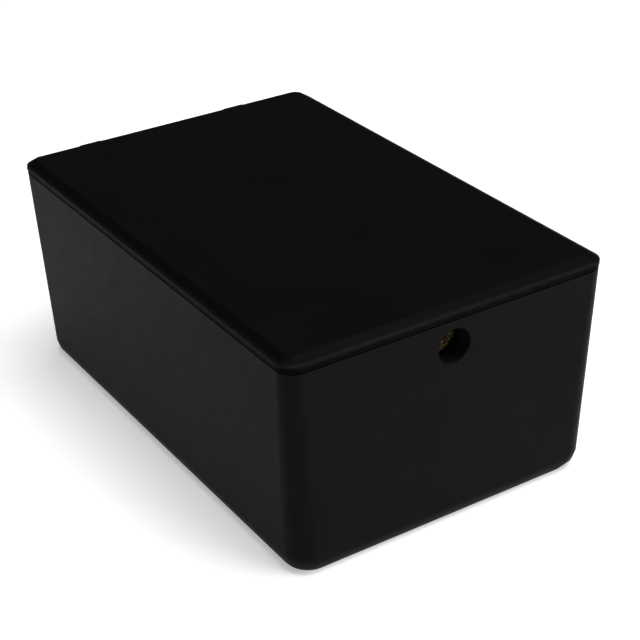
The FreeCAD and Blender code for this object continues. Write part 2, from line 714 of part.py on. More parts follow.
def make_lock_washer():
    ring = rod("washer_ring", "washer_radius", "washer_thickness",
               "0", f"{NUT_FACE} - washer_thickness", LOCK_Z, ALONG_Y)
    hole = rod("washer_hole", "barrel_radius + barrel_clearance", "washer_thickness + 2",
               "0", f"{NUT_FACE} - washer_thickness - 1", LOCK_Z, ALONG_Y)
    return node(pierced("washer", ring, [hole]), "lock_washer")


def make_lock_nut():
    hexagon = doc.addObject("Part::Prism", "nut_hexagon")
    hexagon.Polygon = 6
    bind(hexagon, Circumradius="nut_flats / 1.7320508", Height="nut_thickness")
    place(hexagon, "0", NUT_FACE, LOCK_Z, ALONG_Y)
    hole = rod("nut_hole", "barrel_radius + plug_clearance", "nut_thickness + 2",
               "0", f"{NUT_FACE} - 1", LOCK_Z, ALONG_Y)
    return node(pierced("nut", hexagon, [hole]), "lock_nut")


def wafer_front(index):
    return f"{LOCK_FACE} + wafer_first + {index} * wafer_pitch"


def make_lock_plug():
    head = rod("plug_head", "plug_head_radius", "plug_head_thickness", "0", LOCK_FACE, LOCK_Z, ALONG_Y)
    shaft = rod("plug_shaft", "plug_radius", "barrel_end + cam_gap - 0.1 - well_depth + flange_thickness",
                "0", LOCK_FACE, LOCK_Z, ALONG_Y)
    tang = block("plug_tang", "0 - tang / 2", f"{CAM_FACE} - 1", f"{LOCK_Z} - tang / 2",
                 "tang", "cam_thickness + 0.8", "tang")
    keyway = block("plug_keyway", "0 - keyway_width / 2", f"{LOCK_FACE} - 1",
                   f"{LOCK_Z} - keyway_height / 2", "keyway_width", "keyway_depth + 1", "keyway_height")
    screw_hole = rod("plug_screw_hole", "screw_radius + plug_clearance", "screw_length + 1",
                     "0", f"{CAM_BACK} - screw_length", LOCK_Z, ALONG_Y)
    slots = [block(f"wafer_slot_{index}", "0 - wafer_width / 2 - plug_clearance",
                   f"{wafer_front(index)} - plug_clearance",
                   f"{LOCK_Z} - plug_radius - 1", "wafer_width + 2 * plug_clearance",
                   "wafer_thickness + 2 * plug_clearance", "2 * plug_radius + 2")
             for index in range(WAFERS)]
    plug = pierced("plug", joined("plug_solid", [head, shaft, tang]), [keyway, screw_hole] + slots)
    return node(plug, "lock_plug")


def make_lock_wafers():
    """Thin tumbler plates that slide in the plug, each with a window for the key."""
    solids = []
    for index in range(WAFERS):
        plate = block(f"wafer_plate_{index}", "0 - wafer_width / 2", wafer_front(index),
                      f"{LOCK_Z} - wafer_height / 2", "wafer_width", "wafer_thickness", "wafer_height")
        window = block(f"wafer_window_{index}", "0 - keyway_width / 2 - 0.2",
                       f"{wafer_front(index)} - 1", f"{LOCK_Z} - wafer_window / 2",
                       "keyway_width + 0.4", "wafer_thickness + 2", "wafer_window")
        solids.append(pierced(f"wafer_{index}", plate, [window]))
    return node(gathered("wafers", solids), "lock_wafers")


def make_lock_cam():
    """The cam stands straight up when the lock is open."""
    hub = rod("cam_hub_disc", "cam_hub", "cam_thickness", "0", CAM_FACE, LOCK_Z, ALONG_Y)
    arm = block("cam_arm", "0 - cam_width / 2", CAM_FACE, LOCK_Z, "cam_width", "cam_thickness", "cam_reach")
    hole = block("cam_hole", "0 - tang / 2 - 0.05", f"{CAM_FACE} - 1", f"{LOCK_Z} - tang / 2 - 0.05",
                 "tang + 0.1", "cam_thickness + 2", "tang + 0.1")
    return node(pierced("cam", joined("cam_solid", [hub, arm]), [hole]), "lock_cam")


def make_cam_washer():
    ring = rod("cam_washer_ring", "cam_washer_radius", "cam_washer_thickness",
               "0", CAM_BACK, LOCK_Z, ALONG_Y)
    hole = rod("cam_washer_hole", "screw_radius + 0.2", "cam_washer_thickness + 2",
               "0", f"{CAM_BACK} - 1", LOCK_Z, ALONG_Y)
    return node(pierced("cam_ring", ring, [hole]), "cam_washer")


def make_cam_screw():
    under_head = f"{CAM_BACK} + cam_washer_thickness"
    shank = rod("cam_screw_shank", "screw_radius", "screw_length",
                "0", f"{under_head} - screw_length", LOCK_Z, ALONG_Y)
    head = rod("cam_screw_head", "screw_head_radius", "screw_head_height", "0", under_head, LOCK_Z, ALONG_Y)
    slot = block("cam_screw_slot", "0 - screw_head_radius - 1", f"{under_head} + screw_head_height / 2",
                 f"{LOCK_Z} - screw_slot / 2",
                 "2 * screw_head_radius + 2", "screw_head_height", "screw_slot")
    return node(pierced("cam_bolt", joined("cam_bolt_solid", [shank, head]), [slot]), "cam_screw")


def keeper_screw_x(index):
    return f"0 - keeper_leg - keeper_screw_first - {index} * keeper_screw_pitch"


def make_keeper():
    """A bent steel hook: flange under the lid, leg, and a foot that the locked cam holds down."""
    flange = block("keeper_flange_plate", "0 - keeper_leg - keeper_flange", KEEPER_Y,
                   f"{FLANGE_TOP} - keeper_thickness", "keeper_flange", "keeper_width", "keeper_thickness")
    leg = block("keeper_leg_plate", "0 - keeper_leg - keeper_thickness", KEEPER_Y, KEEPER_FOOT,
                "keeper_thickness", "keeper_width", f"{FLANGE_TOP} - {KEEPER_FOOT}")
    foot = block("keeper_foot_plate", "0 - keeper_leg - keeper_thickness", KEEPER_Y, KEEPER_FOOT,
                 "keeper_leg + keeper_thickness - keeper_foot_end", "keeper_width", "keeper_thickness")
    holes = [rod(f"keeper_hole_{index}", "keeper_screw_radius + 0.2", "keeper_thickness + 2",
                 keeper_screw_x(index), KEEPER_MIDDLE, f"{FLANGE_TOP} - keeper_thickness - 1", UPRIGHT)
             for index in range(2)]
    return node(pierced("keeper", joined("keeper_solid", [flange, leg, foot]), holes), "keeper_hook")


def make_keeper_screws():
    solids = []
    for index in range(2):
        x = keeper_screw_x(index)
        under = f"{FLANGE_TOP} - keeper_thickness"
        low = f"{under} - keeper_screw_cap"
        shank = rod(f"keeper_shank_{index}", "keeper_screw_radius", "keeper_thickness + keeper_pad",
                    x, KEEPER_MIDDLE, under, UPRIGHT)
        head = rod(f"keeper_head_{index}", "keeper_screw_head", "keeper_screw_cap",
                   x, KEEPER_MIDDLE, low, UPRIGHT)
        slot = block(f"keeper_slot_{index}", f"{x} - keeper_screw_head - 1",
                     f"{KEEPER_MIDDLE} - screw_slot / 2", f"{low} - 1",
                     "2 * keeper_screw_head + 2", "screw_slot", "keeper_screw_cap / 2 + 1")
        whole = joined(f"keeper_screw_solid_{index}", [shank, head])
        solids.append(pierced(f"keeper_screw_{index}", whole, [slot]))
    return node(gathered("keeper_bolts", solids), "keeper_screws")


def build():
    fill_sheet()
    make_tub()
    make_lid()
    make_baffle()
    make_tray()
    for label, x in (("left", "0 - rod_left"), ("right", "0 - rod_right")):
        make_bait_rod(label, x)
        make_bait_blocks(label, x)
    make_rod_clips()
    for label, side in HINGE_SIDES:
        make_hinge_pin(label, side)
    make_pin_retainers()
    make_lock_housing()
    make_lock_washer()
    make_lock_nut()
    make_lock_plug()
    make_lock_wafers()
    make_lock_cam()
    make_cam_washer()
    make_cam_screw()
    make_keeper()
    make_keeper_screws()


def export():
    """Check every object and write one STEP file for each sub-part."""
    doc.recompute()
    for thing in doc.Objects:
        if "Invalid" in thing.State or "Error" in thing.State:
            raise RuntimeError(f"{thing.Name} did not build: {thing.State}")
    for thing in nodes:
        if thing.Shape.isNull() or not thing.Shape.isValid():
            raise RuntimeError(f"{thing.Label} has no valid shape")
        thing.Shape.exportStep(f"parts/{thing.Label}.step")


build()
export()
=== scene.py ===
"""Looks of a lockable rodent bait station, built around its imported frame."""

import json
import math

import bmesh
import bpy
from bpy.props import FloatProperty, FloatVectorProperty, IntProperty, PointerProperty
from mathutils import Matrix, Vector

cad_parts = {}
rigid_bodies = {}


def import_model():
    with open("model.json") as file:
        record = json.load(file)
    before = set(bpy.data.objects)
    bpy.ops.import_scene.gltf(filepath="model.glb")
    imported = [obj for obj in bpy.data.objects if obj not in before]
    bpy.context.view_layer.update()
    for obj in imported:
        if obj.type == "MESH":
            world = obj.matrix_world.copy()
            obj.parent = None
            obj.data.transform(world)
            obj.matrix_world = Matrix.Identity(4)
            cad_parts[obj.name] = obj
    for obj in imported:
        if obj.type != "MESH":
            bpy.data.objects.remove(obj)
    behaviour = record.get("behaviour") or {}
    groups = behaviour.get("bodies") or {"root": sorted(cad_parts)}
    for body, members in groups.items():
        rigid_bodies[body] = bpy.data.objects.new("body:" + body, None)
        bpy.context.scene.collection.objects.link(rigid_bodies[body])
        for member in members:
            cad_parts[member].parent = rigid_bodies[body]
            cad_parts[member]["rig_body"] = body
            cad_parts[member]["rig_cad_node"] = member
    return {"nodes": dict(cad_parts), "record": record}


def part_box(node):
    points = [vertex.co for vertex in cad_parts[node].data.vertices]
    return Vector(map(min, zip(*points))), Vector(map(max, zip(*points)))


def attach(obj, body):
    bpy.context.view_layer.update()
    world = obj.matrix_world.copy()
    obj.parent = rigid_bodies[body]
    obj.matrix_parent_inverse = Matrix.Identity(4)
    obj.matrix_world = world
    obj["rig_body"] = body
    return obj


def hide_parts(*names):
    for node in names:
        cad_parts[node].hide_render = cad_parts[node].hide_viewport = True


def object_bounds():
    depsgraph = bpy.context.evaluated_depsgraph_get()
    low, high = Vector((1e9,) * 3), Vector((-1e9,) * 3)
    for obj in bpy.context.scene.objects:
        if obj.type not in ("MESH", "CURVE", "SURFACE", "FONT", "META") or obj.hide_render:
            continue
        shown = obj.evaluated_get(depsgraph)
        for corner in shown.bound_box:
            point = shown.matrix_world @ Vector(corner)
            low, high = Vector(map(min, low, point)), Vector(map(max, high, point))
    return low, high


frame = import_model()
CAD_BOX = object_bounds()

bl_info = {
    "name": "Bait Station Looks",
    "version": (1, 0, 0),
    "blender": (4, 5, 0),
    "location": "3D View > Sidebar > Bait Station",
    "description": "Mouldings, lock, bait and studio for a rodent bait station",
    "category": "Object",
}

MM = 0.001
LID_LOW, LID_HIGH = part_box("lid")
LOCK_LOW, LOCK_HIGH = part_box("lock_housing")
LOCK_AXIS = (LOCK_LOW + LOCK_HIGH) / 2
LID_FRONT = -LID_LOW.y
BORDER_RISE = 3.1 * MM
CROWN_RISE = 4.9 * MM
RIM_TOP = LID_HIGH.z - BORDER_RISE
STEP_HEIGHT = LID_HIGH.z - CROWN_RISE
OVERHANG = 0.3 * MM
CROWN_CORNER = 9.3 * MM
RECESS_HEIGHT = 0.55 * MM
RECESS_DEPTH = 0.9 * MM
LEVEL_SLACK = 0.02 * MM
FLOOR_SIDE = 8.0
FILL_LIGHT = 0.10
CLIP_START = 0.01
SENSOR_WIDTH = 36.0


def colour_property(name, description, default):
    return FloatVectorProperty(name=name, description=description, default=default,
                               size=3, min=0.0, max=1.0, subtype="COLOR")


def length_property(name, description, default):
    return FloatProperty(name=name, description=description, default=default,
                         min=0.0, unit="LENGTH", subtype="DISTANCE", precision=5)


class MouldingProperties(bpy.types.PropertyGroup):
    tub_colour: colour_property("Tub", "Colour of the tub's plastic", (0.0050, 0.0049, 0.0048))
    lid_colour: colour_property("Lid", "Colour of the lid's plastic", (0.0029, 0.0029, 0.0029))
    rim_colour: colour_property("Lid rim", "Colour of the lid's stippled rim", (0.0026, 0.0026, 0.0026))
    insert_colour: colour_property("Baffle", "Colour of the baffle's plastic", (0.020, 0.020, 0.021))
    tray_colour: colour_property("Tray", "Colour of the tray's plastic", (0.045, 0.047, 0.050))
    edge_radius: length_property("Edge radius", "Rounding of the moulded edges", 0.45 * MM)
    rim_radius: length_property("Rim radius", "Rounding where the rim meets its sloping border", 1.4 * MM)
    border_radius: length_property("Border radius", "Rounding where the border meets the flat top", 0.9 * MM)
    grain_size: length_property("Grain size", "Width of one dimple of the spark-eroded grain", 0.55 * MM)
    grain_depth: length_property("Grain depth", "Depth of the spark-eroded grain", 0.03 * MM)


class HardwareProperties(bpy.types.PropertyGroup):
    brass_colour: colour_property("Brass", "Colour of the lock's brass", (0.86, 0.66, 0.25))
    zinc_colour: colour_property("Zinc plate", "Colour of the plated steel", (0.58, 0.59, 0.60))
    spring_colour: colour_property("Spring steel", "Colour of the rings and clips", (0.30, 0.29, 0.28))
    edge_radius: length_property("Edge radius", "Rounding of the turned and stamped edges", 0.12 * MM)
    thread_depth: length_property("Thread depth", "Depth of the barrel's thread", 0.35 * MM)


class BaitProperties(bpy.types.PropertyGroup):
    wax_colour: colour_property("Wax", "Colour of the bait wax", (0.025, 0.150, 0.190))
    grain_colour: colour_property("Grain", "Colour of the grains in the wax", (0.42, 0.33, 0.16))
    edge_radius: length_property("Edge radius", "Rounding of the blocks' edges", 0.5 * MM)
    blocks: IntProperty(name="Blocks", description="Number of blocks on one rod", default=4, min=1)
    block_length: length_property("Block length", "Length of one block along its rod", 27.0 * MM)
    groove_width: length_property("Groove width", "Width of the pressed grooves", 2.6 * MM)
    groove_depth: length_property("Groove depth", "Depth of the pressed grooves", 1.1 * MM)
    groove_places: FloatVectorProperty(name="Groove places", description="Heights as shares of the block",
                                       default=(0.20, 0.38, 0.86), size=3, min=0.0, max=1.0)


class StudioProperties(bpy.types.PropertyGroup):
    floor_colour: colour_property("Floor", "Colour of the studio floor", (0.90, 0.90, 0.90))
    turn: FloatProperty(name="Turn", description="Camera's turn round the station", subtype="ANGLE",
                        default=math.radians(-32.172))
    rise: FloatProperty(name="Rise", description="Camera's height angle", subtype="ANGLE",
                        default=math.radians(28.985))
    roll: FloatProperty(name="Roll", description="Camera's roll", subtype="ANGLE",
                        default=math.radians(-1.572))
    distance: length_property("Distance", "Distance from the camera to the station", 845.07 * MM)
    aim_height: length_property("Aim height", "Height that the camera looks at", 60.0 * MM)
    pan_right: length_property("Pan right", "How far the camera is moved to its right", 11.66 * MM)
    pan_down: length_property("Pan down", "How far the camera is moved down", 9.40 * MM)
    lens: FloatProperty(name="Lens", description="Focal length", default=92.76, min=10.0, unit="CAMERA")


# Mesh work

def deselect_everything():
    bpy.ops.object.select_all(action="DESELECT")


def make_active(piece):
    deselect_everything()
    piece.select_set(True)
    bpy.context.view_layer.objects.active = piece


def apply_modifiers(piece):
    make_active(piece)
    for modifier in list(piece.modifiers):
        bpy.ops.object.modifier_apply(modifier=modifier.name)


def copy_of_node(node, name):
    """A merged copy of a CAD node's mesh, as one clean closed surface."""
    piece = frame["nodes"][node].copy()
    piece.data = frame["nodes"][node].data.copy()
    piece.name = name
    piece.parent = None
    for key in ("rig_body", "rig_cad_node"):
        if key in piece:
            del piece[key]
    bpy.context.collection.objects.link(piece)
    make_active(piece)
    bpy.ops.object.mode_set(mode="EDIT")
    bpy.ops.mesh.select_all(action="SELECT")
    bpy.ops.mesh.remove_doubles(threshold=0.002 * MM)
    bpy.ops.mesh.dissolve_limited(angle_limit=math.radians(0.6))
    bpy.ops.object.mode_set(mode="OBJECT")
    piece.data.materials.clear()
    return piece


def soften_edges(piece, radius, segments=2, angle=30.0):
    """Round every edge sharper than an angle and shade the rest smooth."""
    bevel = piece.modifiers.new("rounding", "BEVEL")
    bevel.width = radius
    bevel.segments = segments
    bevel.limit_method = "ANGLE"
    bevel.angle_limit = math.radians(angle)
    bevel.use_clamp_overlap = True
    bevel.miter_outer = "MITER_ARC"
    apply_modifiers(piece)
    make_active(piece)
    bpy.ops.object.shade_smooth_by_angle(angle=math.radians(angle))
    evening = piece.modifiers.new("evening", "WEIGHTED_NORMAL")
    evening.mode = "FACE_AREA"
    evening.weight = 80
    evening.keep_sharp = True
    apply_modifiers(piece)


def round_level_edges(piece, height, radius, segments):
    """Round the edges that lie level at one height on the outside of a piece."""
    make_active(piece)
    bpy.ops.object.mode_set(mode="EDIT")
    shell = bmesh.from_edit_mesh(piece.data)
    reach = (LID_HIGH.x - LID_LOW.x) / 2
    for part in (*shell.verts, *shell.edges, *shell.faces):
        part.select = False
    for edge in shell.edges:
        level = all(abs(corner.co.z - height) < LEVEL_SLACK for corner in edge.verts)
        outer = all(abs(corner.co.x) > reach - 11 * MM or abs(corner.co.y) > LID_FRONT - 11 * MM
                    for corner in edge.verts)
        tilts = len(edge.link_faces) == 2 and edge.calc_face_angle() > math.radians(15)
        edge.select = level and outer and tilts
    shell.select_flush_mode()
    bmesh.update_edit_mesh(piece.data)
    bpy.ops.mesh.bevel(offset=radius, segments=segments, profile=0.5, affect="EDGES")
    bpy.ops.object.mode_set(mode="OBJECT")


def cut_shadow_line(piece):
    """Draw the lid's lower band in at its top, so that a thin recess runs under the crown."""
    make_active(piece)
    bpy.ops.object.mode_set(mode="EDIT")
    bpy.ops.mesh.select_all(action="SELECT")
    bpy.ops.mesh.bisect(plane_co=(0, 0, STEP_HEIGHT - RECESS_HEIGHT), plane_no=(0, 0, 1))
    shell = bmesh.from_edit_mesh(piece.data)
    for part in (*shell.verts, *shell.edges, *shell.faces):
        part.select = False
    for corner in shell.verts:
        crown = corner.co.x ** 2 > (LID_HIGH.x - 0.15 * MM) ** 2 or corner.co.y < LID_LOW.y + 0.15 * MM
        level = abs(corner.co.z - STEP_HEIGHT) < LEVEL_SLACK
        behind = corner.co.y > LID_FRONT - 0.15 * MM
        rounded = (abs(corner.co.x) > LID_HIGH.x - 10 * MM and abs(corner.co.y) > LID_FRONT - 10 * MM
                   and not on_crown_corner(corner.co))
        straight = (abs(abs(corner.co.x) - (LID_HIGH.x - OVERHANG)) < 0.05 * MM
                    or abs(abs(corner.co.y) - (LID_FRONT - OVERHANG)) < 0.05 * MM)
        corner.select = level and not crown and not behind and (straight or rounded)
    shell.select_flush_mode()
    bmesh.update_edit_mesh(piece.data)
    shrink_x = 1 - RECESS_DEPTH / (LID_HIGH.x - OVERHANG)
    shrink_y = 1 - RECESS_DEPTH / (LID_FRONT - OVERHANG)
    bpy.ops.transform.resize(value=(shrink_x, shrink_y, 1.0), center_override=(0, 0, 0))
    bpy.ops.object.mode_set(mode="OBJECT")


def on_crown_corner(point):
    """Whether a point of a rounded corner is on the crown's outline, not the lower band's."""
    centre_x = LID_HIGH.x - CROWN_CORNER
    centre_y = LID_FRONT - CROWN_CORNER
    reach = math.hypot(abs(point.x) - centre_x, abs(point.y) - centre_y)
    return reach > CROWN_CORNER - OVERHANG / 2


def press_grooves(piece, corners, settings):
    """Press V grooves round every block, clear of the rod hole."""
    low, high = corners
    middle_x = (low.x + high.x) / 2
    pitch = (high.y - low.y - settings.block_length) / (settings.blocks - 1)
    make_active(piece)
    bpy.ops.object.mode_set(mode="EDIT")
    for share in settings.groove_places:
        height = low.z + share * (high.z - low.z)
        for shift in (-settings.groove_width / 2, 0.0, settings.groove_width / 2):
            bpy.ops.mesh.select_all(action="SELECT")
            bpy.ops.mesh.bisect(plane_co=(0, 0, height + shift), plane_no=(0, 0, 1))
        for index in range(settings.blocks):
            middle_y = low.y + settings.block_length / 2 + index * pitch
            shell = bmesh.from_edit_mesh(piece.data)
            for part in (*shell.verts, *shell.edges, *shell.faces):
                part.select = False
            for corner in shell.verts:
                corner.select = (abs(corner.co.z - height) < LEVEL_SLACK
                                 and abs(corner.co.y - middle_y) < settings.block_length / 2 + MM)
            shell.select_flush_mode()
            bmesh.update_edit_mesh(piece.data)
            narrow = 1 - 2 * settings.groove_depth / settings.block_length
            bpy.ops.transform.resize(value=(narrow, narrow, 1.0),
                                     center_override=(middle_x, middle_y, height))
    bpy.ops.object.mode_set(mode="OBJECT")


def body_of(node):
    bodies = frame["record"]["behaviour"]["bodies"]
    return [body for body, members in bodies.items() if node in members][0]


def slot_of(node):
    return [row["material_slot"] for row in frame["record"]["subparts"] if row["node"] == node][0]


def stand_for(piece, node):
    """A finished piece takes a CAD node's place and body, and the node is hidden; the node's material slot is
    looked up but not given to the piece.
    """
    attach(piece, body_of(node))
    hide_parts(node)
    slot_of(node)


def softened_node(node, name, radius, finish, segments=2, angle=30.0):
    piece = copy_of_node(node, name)
    soften_edges(piece, radius, segments, angle)
    piece.data.materials.append(finish)
    stand_for(piece, node)
    return piece


# Shader writing

class Signal:
    """A shader socket that takes part in Python expressions."""

    def __init__(self, finish, socket):
        self.finish = finish
        self.socket = socket

    def combine(self, operation, first, second):
        return self.finish.node("ShaderNodeMath", {"operation": operation}, {0: first, 1: second})

    def __add__(self, other):
        return self.combine("ADD", self, other)

    def __radd__(self, other):
        return self.combine("ADD", other, self)

    def __sub__(self, other):
        return self.combine("SUBTRACT", self, other)

    def __rsub__(self, other):
        return self.combine("SUBTRACT", other, self)

    def __mul__(self, other):
        return self.combine("MULTIPLY", self, other)

    def __rmul__(self, other):
        return self.combine("MULTIPLY", other, self)


class Finish:
    """A material being written: its node tree round one principled shader."""

    def __init__(self, name, **constants):
        self.material = bpy.data.materials.new(name)
        self.material.use_nodes = True
        self.tree = self.material.node_tree
        self.tree.nodes.clear()
        self.shader = self.tree.nodes.new("ShaderNodeBsdfPrincipled")
        output = self.tree.nodes.new("ShaderNodeOutputMaterial")
        self.tree.links.new(self.shader.outputs["BSDF"], output.inputs["Surface"])
        for socket, value in constants.items():
            self.give(self.shader.inputs[socket.replace("_", " ").title().replace("Ior", "IOR")], value)

    def give(self, socket, value):
        if isinstance(value, Signal):
            self.tree.links.new(value.socket, socket)
        else:
            socket.default_value = value

    def node(self, kind, settings=None, sockets=None, result=0):
        made = self.tree.nodes.new(kind)
        for name, value in (settings or {}).items():
            setattr(made, name, value)
        for name, value in (sockets or {}).items():
            self.give(made.inputs[name], value)
        return Signal(self, made.outputs[result])

    def place(self, stretch=(1.0, 1.0, 1.0), centre=(0.0, 0.0, 0.0)):
        """Object coordinates in metres, stretched and centred."""
        spot = self.node("ShaderNodeTexCoord", result="Object")
        return self.node("ShaderNodeMapping", {"vector_type": "POINT"},
                         {"Vector": spot, "Scale": stretch,
                          "Location": tuple(-c * s for c, s in zip(centre, stretch))})

    def noise(self, where, size, detail=2.0, roughness=0.5):
        """Cloudy variation from 0 to 1 whose features are about `size` metres wide."""
        return self.node("ShaderNodeTexNoise", {},
                         {"Vector": where, "Scale": 1.0 / size, "Detail": detail, "Roughness": roughness})

    def band(self, signal, low, high):
        """0 below low, 1 above high, smooth between."""
        return self.node("ShaderNodeMapRange", {"interpolation_type": "SMOOTHSTEP"},
                         {"Value": signal, "From Min": low, "From Max": high})

    def mix(self, mask, first, second):
        return self.node("ShaderNodeMix", {"data_type": "RGBA"}, {0: mask, 6: first, 7: second}, result=2)

    def bump(self, height, depth, strength=1.0, under=None):
        sockets = {"Height": height, "Distance": depth, "Strength": strength}
        if under is not None:
            sockets["Normal"] = under
        return self.node("ShaderNodeBump", {}, sockets)

    def surface(self, **sockets):
        for name, value in sockets.items():
            self.give(self.shader.inputs[name.replace("_", " ").title()], value)
        return self.material


def tint(colour, factor):
    return tuple(min(1.0, channel * factor) for channel in colour) + (1.0,)


def moulded_plastic(name, colour, grain_size, grain_depth, roughness, shine):
    """Satin moulded plastic: spark-eroded grain, faint flow marks and handling marks."""
    finish = Finish(name, specular_ior_level=shine)
    where = finish.place()
    cloud = finish.noise(where, 45 * MM, 3.0)
    patch = finish.noise(where, 9 * MM, 3.0)
    grain = finish.noise(where, grain_size, 2.0, 0.6)
    flow = finish.noise(finish.place((1.0, 0.12, 1.0)), 14 * MM, 2.0)
    shade = finish.band(cloud * 0.6 + flow * 0.4, 0.3, 0.7)
    body_colour = finish.mix(shade, tint(colour, 0.88), tint(colour, 1.12))
    speck = finish.band(grain, 0.55, 0.75)
    body_colour = finish.mix(speck * 0.35, body_colour, tint(colour, 1.7))
    gloss = roughness + (patch - 0.5) * 0.14 + (grain - 0.5) * 0.10
    return finish.surface(base_color=body_colour, roughness=gloss, normal=finish.bump(grain, grain_depth))


def lid_plastic(name, settings):
    """The lid: a smooth dark top that turns to stippled plastic on the rim and the rounded edge, with a
    painted highlight along the rounding between the rim and its sloping border.
    """
    finish = Finish(name, specular_ior_level=0.016)
    where = finish.place()
    normal = finish.node("ShaderNodeNewGeometry", result="Normal")
    facing = finish.node("ShaderNodeSeparateXYZ", {}, {0: normal}, 2)
    top = finish.band(facing, 0.90, 0.995)
    cloud = finish.band(finish.noise(where, 60 * MM, 3.0), 0.3, 0.7)
    grain = finish.noise(where, settings.grain_size, 2.0, 0.6)
    fine = finish.noise(where, settings.grain_size * 0.5, 1.0, 0.5)
    skin = finish.mix(cloud, tint(settings.lid_colour, 0.92), tint(settings.lid_colour, 1.10))
    speck = finish.band(grain, 0.52, 0.72)
    rim = finish.mix(speck * 0.5, tint(settings.rim_colour, 0.95), tint(settings.rim_colour, 1.8))
    height_above = finish.node("ShaderNodeSeparateXYZ", {}, {0: where}, 2)
    # Painted highlight: in a band round the rounding between the rim and its sloping border, the base colour
    # is lightened up to 2.6 times the rim colour and broken up by noise, standing in for the light that
    # rounding catches.
    edge = finish.band(height_above, RIM_TOP - 0.9 * MM, RIM_TOP - 0.1 * MM)
    edge = edge * (1.0 - finish.band(height_above, RIM_TOP + 0.1 * MM, RIM_TOP + 1.2 * MM))
    highlight_breakup = finish.band(finish.noise(where, 6 * MM, 3.0), 0.2, 0.6)
    rim = finish.mix(edge * (0.65 + highlight_breakup * 0.35), rim, tint(settings.rim_colour, 2.6))
    gloss = 0.50 - top * 0.12 - edge * 0.1 + (finish.noise(where, 12 * MM, 3.0) - 0.5) * 0.10
    height = grain * (1.0 - top * 0.85) + fine * 0.12
    return finish.surface(base_color=finish.mix(top, rim, skin), roughness=gloss,
                          normal=finish.bump(height, settings.grain_depth))


def turned_metal(name, colour, roughness, axis_point, tarnish, thread=0.0):
    """Turned metal with lathe rings about the Y axis, tarnish, small marks and a thread if deep."""
    finish = Finish(name, metallic=1.0)
    centred = finish.place(centre=tuple(axis_point))
    rings = finish.node("ShaderNodeTexWave",
                        {"wave_type": "RINGS", "rings_direction": "Y", "bands_direction": "Y"},
                        {"Vector": centred, "Scale": 900.0, "Distortion": 0.6, "Detail": 1.0})
    cloud = finish.band(finish.noise(centred, 5.0 * MM, 2.0, 0.5), 0.50, 0.85)
    pits = finish.band(finish.noise(centred, 0.5 * MM, 2.0), 0.72, 0.84)
    skin = finish.mix(cloud * 0.45, tint(colour, 1.0), tint(tarnish, 1.0))
    skin = finish.mix(pits * 0.4, skin, tint(tarnish, 0.6))
    gloss = roughness + cloud * 0.10 + pits * 0.08
    fine = finish.bump(rings + pits * 0.3, 0.0006 * MM, 0.4)
    if thread:
        turns = finish.node("ShaderNodeTexWave", {"wave_type": "BANDS", "bands_direction": "Y"},
                            {"Vector": finish.place(), "Scale": 314.0})
        depth = finish.node("ShaderNodeSeparateXYZ", {}, {0: finish.place()}, 1)
        barrel = finish.band(depth, LOCK_LOW.y + 2.0 * MM, LOCK_LOW.y + 2.5 * MM)
        skin = finish.mix(barrel * (1.0 - turns) * 0.5, skin, tint(tarnish, 0.6))
        fine = finish.bump(turns * barrel, thread, 1.0, fine)
    return finish.surface(base_color=skin, roughness=gloss, normal=fine)


def plated_steel(name, colour, roughness, along):
    """Zinc-plated or spring steel with drawn streaks and a passivated bloom."""
    finish = Finish(name, metallic=1.0)
    where = finish.place()
    streak = finish.noise(finish.place(along), 0.4 * MM, 2.0)
    bloom = finish.band(finish.noise(where, 6 * MM, 3.0), 0.35, 0.7)
    skin = finish.mix(bloom, tint(colour, 1.0), (colour[0] * 0.88, colour[1] * 0.92, colour[2] * 1.04, 1.0))
    skin = finish.mix(finish.band(streak, 0.55, 0.8) * 0.4, skin, tint(colour, 0.6))
    gloss = roughness + bloom * 0.08 + (streak - 0.5) * 0.12
    return finish.surface(base_color=skin, roughness=gloss, normal=finish.bump(streak, 0.008 * MM, 0.6))


def bait_wax(name, wax, grain):
    """Pressed wax bait: crushed grain in a dyed wax, with a bloomed skin."""
    finish = Finish(name, specular_ior_level=0.35)
    where = finish.place()
    cells = finish.node("ShaderNodeTexVoronoi", {"feature": "F1"},
                        {"Vector": where, "Scale": 1.0 / (2.6 * MM)}, 0)
    pieces = finish.node("ShaderNodeTexVoronoi", {"feature": "F1"},
                         {"Vector": where, "Scale": 1.0 / (2.6 * MM)}, 1)
    pick = finish.node("ShaderNodeSeparateColor", {}, {0: pieces}, 0)
    chip = finish.band(pick, 0.55, 0.62) * (1.0 - finish.band(cells, 0.30, 0.42))
    bloom = finish.band(finish.noise(where, 7 * MM, 4.0), 0.4, 0.7)
    fine = finish.noise(where, 0.6 * MM, 3.0)
    skin = finish.mix(bloom * 0.5, tint(wax, 1.0), tint(wax, 1.7))
    skin = finish.mix(chip * 0.75, skin, tint(grain, 1.0))
    gloss = 0.52 + fine * 0.18 - chip * 0.06
    relief = finish.bump(chip * 0.8 + fine * 0.6, 0.18 * MM, 0.8)
    return finish.surface(base_color=skin, roughness=gloss, normal=relief)


def floor_finish(name, colour):
    """Pale translucent acrylic over a weak light table."""
    finish = Finish(name, specular_ior_level=0.2, emission_color=(1.0, 1.0, 1.0, 1.0), emission_strength=0.40)
    cloud = finish.noise(finish.place(), 250 * MM, 2.0)
    skin = finish.mix(cloud, tint(colour, 0.995), tint(colour, 1.005))
    return finish.surface(base_color=skin, roughness=0.6 + cloud * 0.05)


# Operators

class BAIT_OT_tub(bpy.types.Operator):
    """Mould the tub and the baffle"""
    bl_idname = "bait_station.tub"
    bl_label = "Tub and Baffle"

    def execute(self, context):
        settings = context.scene.bait_mouldings
        plastic = moulded_plastic("tub_plastic", settings.tub_colour, settings.grain_size,
                                  settings.grain_depth, 0.42, 0.017)
        softened_node("base_tub", "tub_shell", settings.edge_radius, plastic)
        insert = moulded_plastic("insert_plastic", settings.insert_colour, settings.grain_size,
                                 settings.grain_depth, 0.45, 0.35)
        softened_node("baffle_wall", "baffle_panel", settings.edge_radius, insert)
        return {"FINISHED"}


